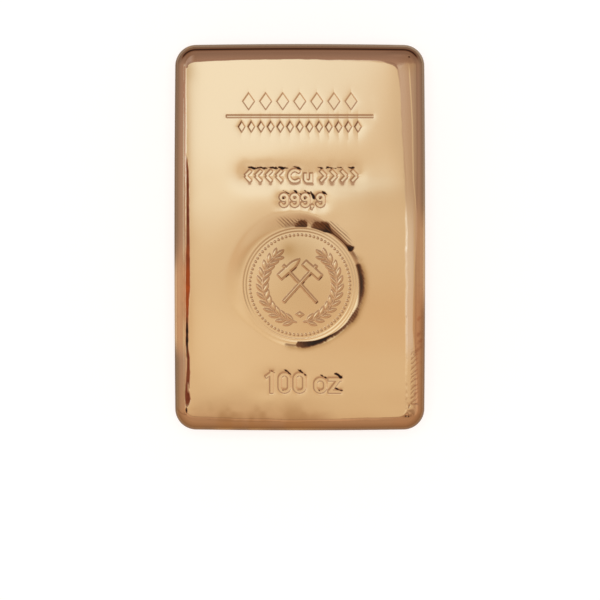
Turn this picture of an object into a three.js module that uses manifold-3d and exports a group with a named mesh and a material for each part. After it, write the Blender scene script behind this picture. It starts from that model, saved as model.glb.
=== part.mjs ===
// A 100 ounce copper ingot: cast in an open mould, then flattened and marked in a press.
// Millimetres, +Z up. It lies on its base with the marked face up, and its length runs along Y.
// The origin is the middle of the base.
import * as THREE from "three";
import { mergeVertices } from "three/addons/utils/BufferGeometryUtils.js";
import Module from "manifold-3d";

// Overall size. Length and width are taken across the bow of the sides, at the widest section.
const length = 134;
const width = 87;
const thickness = 31.8;

// The sides, as they come out of the mould.
const cornerRadius = 7.3; // of the four upright corners, at the widest section
const sharpestCorner = 0.5; // what an upright corner never goes below, where the outline draws in
const sideBow = 0.3; // how far the middle of each side stands proud of its ends
const draftAngle = THREE.MathUtils.degToRad(5); // the sides lean in towards the base
const baseEdgeRadius = 2.6;

// The shoulder turns in from the widest section along an ellipse, and the press cuts it short at a crest.
const shoulderWidth = 4; // in plan, from the widest section to the crest
const shoulderHeight = 3.35;
const shoulderSweep = THREE.MathUtils.degToRad(80); // a full quarter would be 90

// The pressed face lies a little below the crest, down a narrow slope.
const faceDrop = 0.2;
const faceSlopeWidth = 0.5;

// The round seal is struck into the face by a die of its own.
const sealRadius = 20; // to the outside of its rim
const sealOffsetX = 0.4;
const sealOffsetY = -16.4;
const sealSinkWidth = 2.4; // the ring of face that is drawn down round the die
const sealSinkDepth = 0.7; // from the face to the top of the rim
const sealRimWidth = 1.3;
const sealRimHeight = 0.35; // above the field inside it
const sealRimFlank = 0.25; // plan width of the slope from the rim down to the field

// How finely the curves are faceted.
const sideSteps = 8;
const cornerSteps = 16;
const shoulderSteps = 10;
const baseEdgeSteps = 5;
const sealSteps = 96;

const faceHeight = thickness - faceDrop;

// The half axes of the shoulder's ellipse, in plan and in height.
const shoulderReach = shoulderWidth / (1 - Math.cos(shoulderSweep));
const shoulderRise = shoulderHeight / Math.sin(shoulderSweep);

// The ingot's outline, drawn in from the widest section by an inset. It runs anticlockwise from the
// side at +X, and each bowed side brings the corner that follows it.
function outline(inset) {
  const x = width / 2 - sideBow - inset;
  const y = length / 2 - sideBow - inset;
  const r = Math.max(cornerRadius - inset, sharpestCorner);
  const bowControl = 2 * sideBow; // a quadratic curve reaches half as far out as its control point
  const at = (px, py) => new THREE.Vector2(px, py);
  const sides = [
    [at(x, r - y), at(x + bowControl, 0), at(x, y - r)],
    [at(x - r, y), at(0, y + bowControl), at(r - x, y)],
    [at(-x, y - r), at(-x - bowControl, 0), at(-x, r - y)],
    [at(r - x, -y), at(0, -y - bowControl), at(x - r, -y)],
  ];
  const cornerCentres = [at(x - r, y - r), at(r - x, y - r), at(r - x, r - y), at(x - r, r - y)];
  return sides.flatMap((side, i) => {
    const centre = cornerCentres[i];
    const start = (i * Math.PI) / 2;
    const corner = new THREE.EllipseCurve(centre.x, centre.y, r, r, start, start + Math.PI / 2);
    return [
      ...new THREE.QuadraticBezierCurve(...side).getPoints(sideSteps).slice(0, -1),
      ...corner.getPoints(cornerSteps).slice(0, -1),
    ];
  });
}

// A point of the shoulder's ellipse, at an angle up from the widest section.
function shoulder(angle) {
  return {
    inset: shoulderReach * (1 - Math.cos(angle)),
    z: thickness - shoulderHeight + shoulderRise * Math.sin(angle),
  };
}

// The section through a side, from the base up to the face, as an inset and a height at each step.
function sideSection() {
  // The wall meets the shoulder a little below the widest section, where both lean in alike.
  const wallTop = shoulder(-Math.atan((shoulderRise / shoulderReach) * Math.tan(draftAngle)));

  const wallFootHeight = baseEdgeRadius * (1 - Math.sin(draftAngle));
  const wallFootInset = wallTop.inset + (wallTop.z - wallFootHeight) * Math.tan(draftAngle);
  const edgeCentreInset = wallFootInset + baseEdgeRadius * Math.cos(draftAngle);

  const section = [];
  for (let i = 0; i <= baseEdgeSteps; i++) {
    const angle = THREE.MathUtils.lerp(-Math.PI / 2, -draftAngle, i / baseEdgeSteps);
    section.push({
      inset: edgeCentreInset - baseEdgeRadius * Math.cos(angle),
      z: baseEdgeRadius * (1 + Math.sin(angle)),
    });
  }
  section.push(wallTop);
  for (let i = 0; i <= shoulderSteps; i++) section.push(shoulder((shoulderSweep * i) / shoulderSteps));
  section.push({ inset: shoulderWidth + faceSlopeWidth, z: faceHeight });
  return section;
}

// A closed body skinned over level outlines, the first facing down and the last facing up.
function loft(section) {
  const rings = section.map(({ inset }) => outline(inset));
  const count = rings[0].length;
  const position = [];
  rings.forEach((ring, level) => ring.forEach((p) => position.push(p.x, p.y, section[level].z)));

  const index = [];
  for (let level = 0; level < rings.length - 1; level++)
    for (let i = 0; i < count; i++) {
      const a = level * count + i;
      const b = level * count + ((i + 1) % count);
      index.push(a, b, b + count, a, b + count, a + count);
    }
  const top = (rings.length - 1) * count;
  for (const [a, b, c] of THREE.ShapeUtils.triangulateShape(rings[0], [])) index.push(c, b, a);
  for (const [a, b, c] of THREE.ShapeUtils.triangulateShape(rings.at(-1), []))
    index.push(top + a, top + b, top + c);

  const geometry = new THREE.BufferGeometry();
  geometry.setAttribute("position", new THREE.Float32BufferAttribute(position, 3));
  geometry.setIndex(index);
  return geometry;
}

// The seal's die, turned: its underside is the field, the rim and the metal drawn down round them.
function sealDie() {
  const rimTop = faceHeight - sealSinkDepth;
  const field = rimTop - sealRimHeight;
  const sinkSlope = sealSinkDepth / sealSinkWidth;
  const overrun = 1; // the die stands this far above the face, so that its cut goes right through
  const profile = [
    [0, field],
    [sealRadius - sealRimWidth - sealRimFlank, field],
    [sealRadius - sealRimWidth, rimTop],
    [sealRadius, rimTop],
    [sealRadius + sealSinkWidth + overrun / sinkSlope, faceHeight + overrun],
    [0, faceHeight + overrun],
  ];
  const points = profile.map(([radius, z]) => new THREE.Vector2(radius, z));
  const die = new THREE.LatheGeometry(points, sealSteps);
  die.rotateX(Math.PI / 2); // the lathe turns about Y
  die.translate(sealOffsetX, sealOffsetY, 0);
  return die;
}

const wasm = await Module();
wasm.setup();

// A manifold-3d solid from a closed geometry. Triangles with no area, as at a lathe's axis, are left out.
function toSolid(geometry) {
  const bare = geometry.clone();
  bare.deleteAttribute("normal");
  bare.deleteAttribute("uv");
  const merged = mergeVertices(bare, 1e-4);
  const corners = merged.index.array;
  const triVerts = [];
  for (let i = 0; i < corners.length; i += 3) {
    const [a, b, c] = corners.slice(i, i + 3);
    if (a !== b && b !== c && c !== a) triVerts.push(a, b, c);
  }
  return new wasm.Manifold(
    new wasm.Mesh({
      numProp: 3,
      vertProperties: merged.attributes.position.array,
      triVerts: new Uint32Array(triVerts),
    }),
  );
}

function toGeometry(solid) {
  const mesh = solid.getMesh();
  const geometry = new THREE.BufferGeometry();
  geometry.setAttribute("position", new THREE.BufferAttribute(mesh.vertProperties, 3));
  geometry.setIndex(new THREE.BufferAttribute(mesh.triVerts, 1));
  geometry.computeVertexNormals();
  return geometry;
}

const blank = toSolid(loft(sideSection()));
const struck = blank.subtract(toSolid(sealDie()));

const copper = new THREE.MeshStandardMaterial({ color: 0xd9a77c, roughness: 0.16, metalness: 1 });
const ingot = new THREE.Mesh(toGeometry(struck), copper);
ingot.name = "ingot";

const part = new THREE.Group();
part.add(ingot);
export default part;
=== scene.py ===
# %% [markdown]
# # A polished copper ingot
#
# The object is one block of copper that holds 100 troy ounces. It was cast in an open mould, which
# gave it leaning sides and rounded shoulders, and then its top was pressed flat and bright by a die
# that also struck the marks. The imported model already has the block's true size and its resting
# place, so this script makes only what the eye sees: one fine mesh over the same block, its metal,
# and a small studio round it.
#
# The frame comes first.

import bpy
import numpy as np
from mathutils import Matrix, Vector
from mathutils.geometry import delaunay_2d_cdt


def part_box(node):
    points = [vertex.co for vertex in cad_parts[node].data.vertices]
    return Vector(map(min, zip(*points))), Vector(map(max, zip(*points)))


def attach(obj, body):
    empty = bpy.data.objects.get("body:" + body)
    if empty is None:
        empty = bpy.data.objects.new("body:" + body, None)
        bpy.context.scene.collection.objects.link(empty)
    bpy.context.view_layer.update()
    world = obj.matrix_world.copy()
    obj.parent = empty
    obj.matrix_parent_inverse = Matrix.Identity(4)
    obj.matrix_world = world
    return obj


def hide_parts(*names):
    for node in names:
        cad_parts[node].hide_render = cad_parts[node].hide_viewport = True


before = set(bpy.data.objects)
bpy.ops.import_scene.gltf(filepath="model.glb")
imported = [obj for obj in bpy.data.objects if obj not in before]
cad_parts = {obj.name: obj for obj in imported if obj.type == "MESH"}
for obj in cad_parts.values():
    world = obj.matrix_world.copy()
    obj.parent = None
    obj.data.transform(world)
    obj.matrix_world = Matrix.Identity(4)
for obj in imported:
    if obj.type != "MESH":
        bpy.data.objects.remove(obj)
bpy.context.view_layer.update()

MM = 0.001
block_low, block_high = (np.array(corner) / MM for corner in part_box("ingot"))
width, length, thickness = block_high - block_low
print(f"block {width:.1f} x {length:.1f} x {thickness:.1f} mm")

# %% [markdown]
# ## The outline and how far in a point lies
#
# Seen from above the block is a rectangle with round corners, and its long and short sides bow out
# a little. Two helpers serve the whole mesh. `outline` walks round the block at a given inset, and
# gives every ring the same number of points, so that rings can be joined into quads. `inset_at` goes
# the other way and says how far in from the edge any point lies, as a signed distance to the
# rounded rectangle. A height that depends on that distance alone then follows the edge by itself.

# %% Outline
corner_radius = 7.3
side_bow = 0.3
tightest_ring_corner = 1.5  # keeps the inner rings' corners open enough for even quads
long_side_steps, short_side_steps, corner_steps = 146, 84, 18
crowding = (0.25, 0, -0.25, 0)  # crowds each side's points: the long sides' are closer at the near end


def inset_at(x, y):
    """How far in from the widest section a point lies."""
    half_x = width / 2 - side_bow * np.clip(y / (length / 2 - corner_radius), -1, 1) ** 2
    half_y = length / 2 - side_bow * np.clip(x / (width / 2 - corner_radius), -1, 1) ** 2
    past_x = np.abs(x) - (half_x - corner_radius)
    past_y = np.abs(y) - (half_y - corner_radius)
    outside = np.hypot(np.maximum(past_x, 0), np.maximum(past_y, 0))
    return corner_radius - outside - np.minimum(np.maximum(past_x, past_y), 0)


def outline(inset):
    """Points round the block, anticlockwise from the foot of the side at +X."""
    x = width / 2 - side_bow - inset
    y = length / 2 - side_bow - inset
    r = max(corner_radius - inset, tightest_ring_corner)
    ring = []
    for turn, steps in enumerate((long_side_steps, short_side_steps) * 2):
        across, along = (x, y) if turn % 2 == 0 else (y, x)
        share = np.linspace(-1, 1, steps, endpoint=False)
        run = (along - r) * (share + crowding[turn] * (share**2 - 1))
        bow = side_bow * (1 - (run / (along - r)) ** 2)
        angle = np.linspace(0, np.pi / 2, corner_steps, endpoint=False)
        side_x = np.concatenate([across + bow, across - r + r * np.cos(angle)])
        side_y = np.concatenate([run, along - r + r * np.sin(angle)])
        c, s = np.cos(turn * np.pi / 2), np.sin(turn * np.pi / 2)
        ring.append(np.stack([c * side_x - s * side_y, s * side_x + c * side_y], axis=1))
    return np.concatenate(ring)


print(f"{len(outline(0))} points round each ring")

# %% [markdown]
# ## Soft steps, and unevenness that is the same on every run
#
# Metal has few hard borders, so almost every value below starts and stops along a soft step. Cast and
# pressed metal is never quite true either, and on a polished face the eye reads that from the way
# reflections swim. A small lattice noise gives such slow swells. Its lattice comes from a seeded
# generator, so each run makes the same metal.

# %% Soft steps and smooth noise
lattice_size = 64


def ramp(start, end, value):
    """0 at the start and 1 at the end, soft at both. It runs downward where the end is the lesser."""
    t = np.clip((value - start) / (end - start), 0, 1)
    return t * t * (3 - 2 * t)


def between(value, low, full_low, full_high, high):
    """1 from one full value to the other, fading to 0 at low and at high."""
    return ramp(low, full_low, value) * ramp(high, full_high, value)


def bell(value, spread):
    return np.exp(-((value / spread) ** 2))


def noise(x, y, wavelength, seed):
    """Smooth values from -1 to 1, with about one swell for each wavelength in millimetres."""
    lattice = np.random.default_rng(seed).uniform(-1, 1, (lattice_size, lattice_size))
    u, v = np.asarray(x) / wavelength + 32.37, np.asarray(y) / wavelength + 32.61
    column, row = np.floor(u).astype(int), np.floor(v).astype(int)
    fu, fv = (f * f * f * (f * (6 * f - 15) + 10) for f in (u - column, v - row))

    def corner(i, j):
        return lattice[(column + i) % lattice_size, (row + j) % lattice_size]

    return ((corner(0, 0) * (1 - fu) + corner(1, 0) * fu) * (1 - fv)
            + (corner(0, 1) * (1 - fu) + corner(1, 1) * fu) * fv)


print("noise at the middle of the face", round(float(noise(0, 0, 10, 1)), 3))

# %% [markdown]
# ## The marks as distances
#
# A stamp pushes a flat-bottomed letter into the metal. The simplest way to describe such a mark is a
# signed distance: for any point of the face, how far it is outside the mark, or inside it where the
# number is negative. The depth of the metal, the softness of the metal drawn down beside it, and
# where the mesh has to be fine can all be worked out from that one number. Text objects or boolean
# cuts would give the letters too, but not the drawn-down metal round them.
#
# Only a few shapes are needed: straight strokes, stroked rounded boxes, arcs, lozenges, leaves and
# discs. Each mark is a list of them, and its distance is the least of theirs. With its distance a
# shape gives its middle and its reach, so that points far from it need no sums.

# %% Shapes


def turned(x, y, centre, angle):
    dx, dy = x - centre[0], y - centre[1]
    c, s = np.cos(angle), np.sin(angle)
    return c * dx + s * dy, c * dy - s * dx


def box_distance(x, y, half_x, half_y, r):
    qx, qy = np.abs(x) - (half_x - r), np.abs(y) - (half_y - r)
    return np.hypot(np.maximum(qx, 0), np.maximum(qy, 0)) + np.minimum(np.maximum(qx, qy), 0) - r


def bar(start, end, half_width, r=0.12):
    """A straight stroke with square ends whose corners have radius r."""
    start, end = np.array(start, float), np.array(end, float)
    centre, along = (start + end) / 2, end - start
    angle, half = np.arctan2(along[1], along[0]), np.hypot(*along) / 2
    return (lambda x, y: box_distance(*turned(x, y, centre, angle), half, half_width, r),
            (*centre, half + half_width))


def loop(centre, half_x, half_y, r, half_width):
    """A closed stroke along a rounded box."""
    return (lambda x, y: np.abs(box_distance(*turned(x, y, centre, 0), half_x, half_y, r)) - half_width,
            (*centre, max(half_x, half_y) + half_width))


def arc(centre, r, middle, half_sweep, half_width):
    """A stroke along an arc, from its middle angle out to half a sweep on both sides."""
    end_x, end_y = r * np.cos(half_sweep), r * np.sin(half_sweep)

    def distance(x, y):
        u, v = turned(x, y, centre, middle)
        inside = np.abs(np.arctan2(v, u)) <= half_sweep
        to_end = np.hypot(u - end_x, np.abs(v) - end_y)
        return np.where(inside, np.abs(np.hypot(u, v) - r), to_end) - half_width

    return distance, (*centre, r + half_width)


def lozenge(centre, half_x, half_y):
    def distance(x, y):
        u, v = np.abs(x - centre[0]), np.abs(y - centre[1])
        return (u * half_y + v * half_x - half_x * half_y) / np.hypot(half_x, half_y)

    return distance, (*centre, max(half_x, half_y))


def leaf(centre, angle, half_long, half_wide):
    """A pointed leaf: what two equal circles share."""
    r = (half_long**2 + half_wide**2) / (2 * half_wide)

    def distance(x, y):
        u, v = (np.abs(part) for part in turned(x, y, centre, angle))
        beside_tip = (u - half_long) * (r - half_wide) > v * half_long
        return np.where(beside_tip, np.hypot(u - half_long, v), np.hypot(u, v + r - half_wide) - r)

    return distance, (*centre, half_long)


def leaves(*rows):
    """Leaves given as rows of x, y, lean in degrees, half length and half width."""
    return [leaf((x, y), np.radians(lean), *half_sizes) for x, y, lean, *half_sizes in rows]


def disc(centre, r):
    return lambda x, y: np.hypot(x - centre[0], y - centre[1]) - r, (*centre, r)


far_away = 6.0  # the distance given where no shape is near


def distance_to(shapes, x, y):
    """The least distance to any of the shapes, each worked out only near its own circle."""
    nearest = np.full(np.shape(x), far_away)
    for distance, (cx, cy, reach) in shapes:
        near = np.flatnonzero((np.abs(x - cx) < reach + far_away) & (np.abs(y - cy) < reach + far_away))
        nearest[near] = np.minimum(nearest[near], distance(x[near], y[near]))
    return nearest


# %% [markdown]
# ## What is struck into the face
#
# The face carries a plain frieze at the top, the chemical symbol for copper between chevrons, the
# fineness, and the weight. The letters and figures have one stroke width throughout, as simple
# punches have, so each is a few strokes. All are placed in millimetres from the middle of the block.

# %% Frieze
rule_y, rule_half_length, rule_half_width = 41.7, 25.4, 0.42
frieze_rows = [
    # how many lozenges, pitch, height on the face, half width, half height
    (7, 5.9, 46.9, 2.05, 2.9),
    (13, 3.35, 38.1, 1.15, 1.85),
]
rule = [bar((-rule_half_length, rule_y), (rule_half_length, rule_y), rule_half_width)]
large_row, small_row = (
    [lozenge(((i - (count - 1) / 2) * pitch, row_y), half_wide, half_high) for i in range(count)]
    for count, pitch, row_y, half_wide, half_high in frieze_rows
)
print(len(rule + large_row + small_row), "shapes in the frieze")

# %% Letters and figures
quarter = np.pi / 2


def figure_nine(x, base, wide, high, half_width):
    r = wide / 2 - half_width
    bowl_half = high * 0.3 - half_width
    foot_y = base + half_width + r
    bowl_y = base + high - half_width - bowl_half
    return [
        loop((x, bowl_y), r, bowl_half, r * 0.98, half_width),
        bar((x + r, bowl_y), (x + r, foot_y), half_width),
        arc((x, foot_y), r, -0.9 * quarter, 0.9 * quarter, half_width),
    ]


def figure_nought(x, base, wide, high, half_width):
    half_x, half_y = wide / 2 - half_width, high / 2 - half_width
    return [loop((x, base + high / 2), half_x, half_y, half_x * 0.98, half_width)]


def figure_one(x, base, high, flag_out, flag_down, half_width):
    top = base + high
    flag = (x - flag_out, top - flag_down)
    return [
        bar((x, base), (x, top), half_width),
        bar((x + half_width * 0.6, top - half_width * 0.7), flag, half_width * 0.8),
    ]


def letter_z(x, base, wide, high, half_width):
    left, right = x - wide / 2, x + wide / 2
    low, top = base + half_width, base + high - half_width
    return [
        bar((left, top), (right, top), half_width),
        bar((right - half_width * 1.2, top), (left + half_width * 1.2, low), half_width),
        bar((left, low), (right, low), half_width),
    ]


def comma(x, base, half_width):
    middle = base + half_width
    return [
        disc((x, middle), half_width * 1.15),
        bar((x + half_width * 0.3, middle), (x - half_width * 0.5, base - half_width), half_width * 0.55),
    ]


def letter_c(x, base, high, half_width):
    return [arc((x, base + high / 2), high / 2 - half_width, 2 * quarter, 1.45 * quarter, half_width)]


def letter_u(x, base, wide, high, half_width):
    r = wide / 2 - half_width
    bend = base + half_width + r
    return [
        arc((x, bend), r, -quarter, quarter, half_width),
        bar((x - r, bend), (x - r, base + high), half_width),
        bar((x + r, base), (x + r, base + high), half_width),
    ]


def chevron(x, base, high, point, half_width):
    tip = (x + point, base + high / 2)
    return [bar((x, y), tip, half_width) for y in (base + half_width, base + high - half_width)]


punch = 0.6  # half the width of a stroke
symbol_base, symbol_high = 18.6, 5.1
chevrons = [(side, 0.5 + side * (6.6 + 3.6 * i)) for i in range(4) for side in (-1, 1)]  # side, foot in x
symbol = letter_c(-1.7, symbol_base, symbol_high, punch)
symbol += letter_u(2.9, symbol_base, 3.3, 3.5, punch)
for side, x in chevrons:
    symbol += chevron(x, symbol_base, symbol_high, side * 1.9, punch)

fineness_base, fineness_high = 10.2, 5.1
nines = (-5.5, -1.8, 1.85, 7.1)
fineness = comma(4.25, fineness_base - 0.1, punch)
for x in nines:
    fineness += figure_nine(x, fineness_base, 3.45, fineness_high, punch)

weight_base, weight_high, broad_punch = -54.0, 7.7, 0.62
weight = figure_one(-9.8, weight_base, weight_high, 2.1, 2.2, broad_punch)
for x, wide, high in ((-5.3, 4.5, weight_high - 0.5), (-0.1, 4.6, weight_high - 0.5), (7.1, 4.7, 5.5)):
    weight += figure_nought(x, weight_base, wide, high, broad_punch)
weight += letter_z(12.0, weight_base, 4.6, 5.4, broad_punch)
print(len(symbol + fineness + weight), "strokes in the letters and figures")

# %% [markdown]
# ## The seal
#
# A round die of its own struck the seal. Its field lies below the face, a narrow rim runs round it,
# and the design stands up out of the field: a beaded border, two branches of leaves, and a crossed
# hammer and pick, the old sign of miners. The die went in deeper on its upper right, and the metal
# round it is drawn down, over a narrow slope nearly everywhere and a wide one at the upper left.

# %% Seal design
seal_centre = np.array((0.0, -16.5))
seal_radius = 20.1
rim_steps = [(19.6, 0.35, 0.034), (18.55, 0.22, 0.030)]  # radius, half width and drop of the rim's edges
bead_circle, bead_count, bead_radius = 17.3, 78, 0.34
stem_circle, stem_half_width = 12.9, 0.2
leaf_pairs, leaf_splay, leaf_offset = 12, np.radians(32), 1.15
leaf_half_sizes = (1.75, 0.62)
branch_foot, branch_tip = np.radians(-84), np.radians(52)


def on_seal(r, angle):
    return (seal_centre[0] + r * np.cos(angle), seal_centre[1] + r * np.sin(angle))


def mirrored(place, angle):
    return (2 * seal_centre[0] - place[0], place[1]), np.pi - angle


bead_angles = [2 * np.pi * i / bead_count for i in range(bead_count)]
design = [disc(on_seal(bead_circle, angle), bead_radius) for angle in bead_angles]

right_leaves = []  # place and lean of each
for i in range(leaf_pairs):
    angle = branch_foot + (branch_tip - branch_foot) * (i + 0.8) / leaf_pairs
    for across in (-1, 1):
        place = on_seal(stem_circle + across * leaf_offset, angle + 0.04)
        right_leaves.append((place, angle + quarter - across * leaf_splay))
right_leaves.append((on_seal(stem_circle + 0.1, branch_tip + 0.1), branch_tip + quarter))

stem = (seal_centre, (branch_foot + branch_tip) / 2)
for flip in (True, False):
    (middle, facing), *placed = [mirrored(*one) if flip else one for one in [stem, *right_leaves]]
    design.append(arc(middle, stem_circle, facing, (branch_tip - branch_foot) / 2, stem_half_width))
    design += [leaf(place, lean, *leaf_half_sizes) for place, lean in placed]
design.append(lozenge(on_seal(10.2, -quarter), 1.5, 1.0))
print(len(design), "beads, leaves and stems")

# %% Hammer and pick
tool_angle = np.radians(48)
handle_half, handle_half_width = 8.6, 0.55
head_half, head_half_width = 3.9, 1.25
head_from_top = 2.2


def handle(side):
    """The handle that leans to one side, the middle of its head, and the direction the head runs in."""
    along = np.array((side * np.cos(tool_angle), np.sin(tool_angle)))
    middle = seal_centre + (0, 0.4)
    stroke = bar(middle - along * handle_half, middle + along * handle_half, handle_half_width)
    return stroke, middle + along * (handle_half - head_from_top), np.array((-along[1], along[0]))


hammer_handle, hammer_eye, hammer_run = handle(1)
pick_handle, pick_eye, pick_run = handle(-1)
tools = [
    pick_handle,
    bar(pick_eye - pick_run * head_half * 0.2, pick_eye + pick_run * head_half, head_half_width),
    leaf(pick_eye - pick_run * head_half * 0.5, np.arctan2(*pick_run[::-1]), head_half, head_half_width),
    hammer_handle,
    bar(hammer_eye - hammer_run * head_half, hammer_eye + hammer_run * head_half, head_half_width),
]
design += tools
print(len(design), "raised shapes in the whole seal")

# %% [markdown]
# ## Heights of the top of the block
#
# The whole top, from the shoulder in, is one height for each point in plan. The casting's own skin
# comes first, rounding over from the sides and flattening out. The face is a second surface a little
# lower, and the metal changes from one to the other across the edge of the pressing die. The marks
# and the seal are then sunk into it. Because the height is a plain function, its slope can be had
# exactly too, and that gives true normals for the mirror finish.

# %% Casting skin
shoulder_width, shoulder_height = 4.0, 3.35
shoulder_sweep = np.radians(80)
skin_below_top = 0.06
side_crest, end_crest = 1.0, 2.2  # how far in the slope left at the crest carries on, by edge
shoulder_reach = shoulder_width / (1 - np.cos(shoulder_sweep))
shoulder_rise = shoulder_height / np.sin(shoulder_sweep)
crest_slope = shoulder_rise * np.cos(shoulder_sweep) / (shoulder_reach * np.sin(shoulder_sweep))
widest_z = thickness - shoulder_height


def crest_length(x, y):
    """The crest is rounder along the two ends than along the two sides."""
    nearer_end = (np.abs(y) - length / 2) - (np.abs(x) - width / 2)
    return side_crest + (end_crest - side_crest) * ramp(-5, 5, nearer_end)


def skin_height(inset, crest):
    """Height of the casting's skin at an inset from the widest section."""
    turn = np.arccos(np.clip(1 - inset / shoulder_reach, -1, 1))
    plateau = thickness - skin_below_top
    squeeze = (shoulder_height - skin_below_top) / (shoulder_height + crest_slope * crest)
    shoulder = widest_z + squeeze * shoulder_rise * np.sin(np.minimum(turn, shoulder_sweep))
    inner = plateau - squeeze * crest_slope * crest * np.exp(-(inset - shoulder_width) / crest)
    return np.where(inset < shoulder_width, shoulder, inner)


def sag(x, y, inset):
    """The casting lies a little low along the upper right shoulder."""
    return 0.19 * ramp(-12, 34, y) * ramp(27, 34, x) * ramp(1.5, 4.6, inset)


def rough_corner(x, y, inset):
    """The lower right corner filled last and set full of small folds."""
    near = ramp(15, 4, np.hypot(x - 42, y + 65)) * ramp(0.4, 2.5, inset)
    return near * (0.03 * noise(x + y, x - y, 2.4, 61) + 0.015 * noise(x, y, 1.3, 62))


for crest in (side_crest, end_crest):
    print(f"crest at {float(skin_height(np.array(4.0), crest)):.2f} mm")

# %% Pressed face
face_z = thickness - 0.17
die_left, die_right, die_bottom, die_top = -39.55, 36.8, -63.3, 61.6
die_top_bow, die_bottom_bow = 1.1, 1.2
die_right_pull = 2.4  # the die's edge falls short by this much at the top right
die_corner, die_wall = 2.8, 0.9


def die_right_edge(y):
    return die_right - die_right_pull * ramp(-2, 62, y) ** 1.3


def inside_die(x, y):
    """Distance in from the edge of the pressing die, negative outside it."""
    right = die_right_edge(y)
    wander = 0.10 * noise(x, y, 3.4, 21) + 0.14 * noise(x, y, 11, 22) + 0.06 * noise(x, y, 1.3, 23)
    middle_x, half_x = (die_left + right) / 2, (right - die_left) / 2
    middle_y, half_y = (die_bottom + die_top) / 2, (die_top - die_bottom) / 2
    bowed_y = y + (die_top_bow * (x / half_x) ** 2 + 0.38 * ramp(2, 13, x)) * ramp(30, 60, y)
    bowed_y -= die_bottom_bow * (x / half_x) ** 2 * ramp(-30, -60, y)
    rounder = 0.9 * np.exp(-((x - 34.5) ** 2 + (y - 60.0) ** 2) / 4.5**2)  # the upper right corner
    return -box_distance(x - middle_x, bowed_y - middle_y, half_x, half_y, die_corner) + wander - rounder


def face_height(x, y):
    swell = 0.022 * noise(x, y, 27, 31) + 0.008 * noise(x, y, 12, 32) + 0.0013 * noise(x, y, 5.2, 33)
    swell += 0.02 * noise(x, y, 9, 34) * ramp(-42, -54, y)
    turned_up = 0.15 * np.exp(-np.maximum(x - die_left, 0) / 3.4)
    rolled_off = (0.11 - 0.08 * ramp(4, 14, x)) * np.exp(-np.maximum(y - die_bottom, 0) / 3.2)
    rolled_off += 0.07 * ramp(0, 40, y) * np.exp(-np.maximum(die_right_edge(y) - x, 0) / 2.6)
    return face_z + swell + turned_up - rolled_off


print(f"the face lies near {face_z:.2f} mm")

# %% Seal heights
design_height, design_crown = 0.15, 0.05  # the step up to the design, and its roundness on top
bead_share = 0.45  # the beads have this share of that height


def seal_heights(x, y, ground):
    """The ground with the seal struck into it."""
    dx, dy = x - seal_centre[0], y - seal_centre[1]
    r = np.hypot(dx, dy)
    outside = np.maximum(r - seal_radius, 0)

    def towards(degrees):
        """1 on the side at this bearing, 0 on the far side."""
        along = dx * np.cos(np.radians(degrees)) + dy * np.sin(np.radians(degrees))
        return 0.5 + 0.5 * along / np.maximum(r, seal_radius)

    sink_depth = 0.03 + 0.22 * towards(50)
    sink_width = 2.0 + 4.6 * ramp(0.45, 0.95, towards(138))
    slope = np.clip((r - seal_radius) / sink_width, 0, 1)
    sunk = sink_depth * (1 - slope) ** 2 * (1 + 2 * slope)
    sunk += 0.06 * ramp(0.4, 0.9, towards(120)) * bell(outside, 8)
    steps = sum(drop * ramp(at + half, at - half, r) for at, half, drop in rim_steps)
    level = ground - sunk - steps * (1 - 0.65 * ramp(0.5, 1.0, towards(14)))
    near = np.flatnonzero(r < rim_steps[1][0] - 0.4)
    if len(near):
        d = distance_to(design, x[near], y[near])
        lift = design_height * ramp(0.15, -0.15, d) + design_crown * ramp(0.0, -0.6, d)
        level[near] += np.where(r[near] > bead_circle - 0.8, bead_share, 1.0) * lift
    return level


print("the design stands up", design_height + design_crown, "mm")

# %% Stamped marks
wall_width = 0.32
row_reach = 2.4
mark_rows = [
    # shapes, depth of the floor, middle and half size of the row, its dip, dip and reach by a stroke
    (large_row + rule, 0.13, (0, 44.8), (24, 4.5), 0.006, 0.015, 0.6),
    (small_row, 0.26, (0, 38.1), (20.5, 1.2), 0.012, 0.040, 0.7),
    (symbol, 0.26, (0.5, 21.1), (19.5, 1.8), 0.030, 0.050, 0.8),
    (fineness, 0.26, (0.8, 12.8), (7.5, 1.8), 0.025, 0.045, 0.8),
    (weight, 0.14, (1.0, -50.4), (12.5, 3.0), 0.010, 0.030, 0.4),
]


def drawn_down(x, y):
    """The whole face sinks a little towards the row with the deepest punches, most of all on the right."""
    row_y = 21
    to_right = ramp(-20, 12, x)
    reach = np.where(y > row_y, 5.0 + 5.0 * to_right, 4.0)
    return (0.085 + 0.045 * to_right) * between(x, -27, -18, 16, 43) * bell(y - row_y, reach)


def mark_depth(x, y):
    depth = drawn_down(x, y)
    for shapes, floor, (row_x, row_y), (half_x, half_y), row_dip, dip, reach in mark_rows:
        d = distance_to(shapes, x, y)
        depth += floor * ramp(wall_width / 2, -wall_width / 2, d)
        depth += dip * np.exp(-np.maximum(d, 0) / reach)
        to_row = box_distance(x - row_x, y - row_y, half_x, half_y, 1.2) + 0.5 * noise(x, y, 3.1, 71)
        depth += row_dip * bell(np.maximum(to_row, 0), row_reach)
    return depth


print("deepest floor", max(floor for _, floor, *_ in mark_rows), "mm")

# %% [markdown]
# ## Flaws
#
# Along the left edge the pressed metal lapped over the crest and left a fold. It is a shallow crooked
# groove, a little over a millimetre wide, that opens out at its lower end. Two pits and a few wrinkles
# sit in the right-hand corners. They are part of the same height, because a flaw that is only painted
# on would not catch the light.

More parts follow.
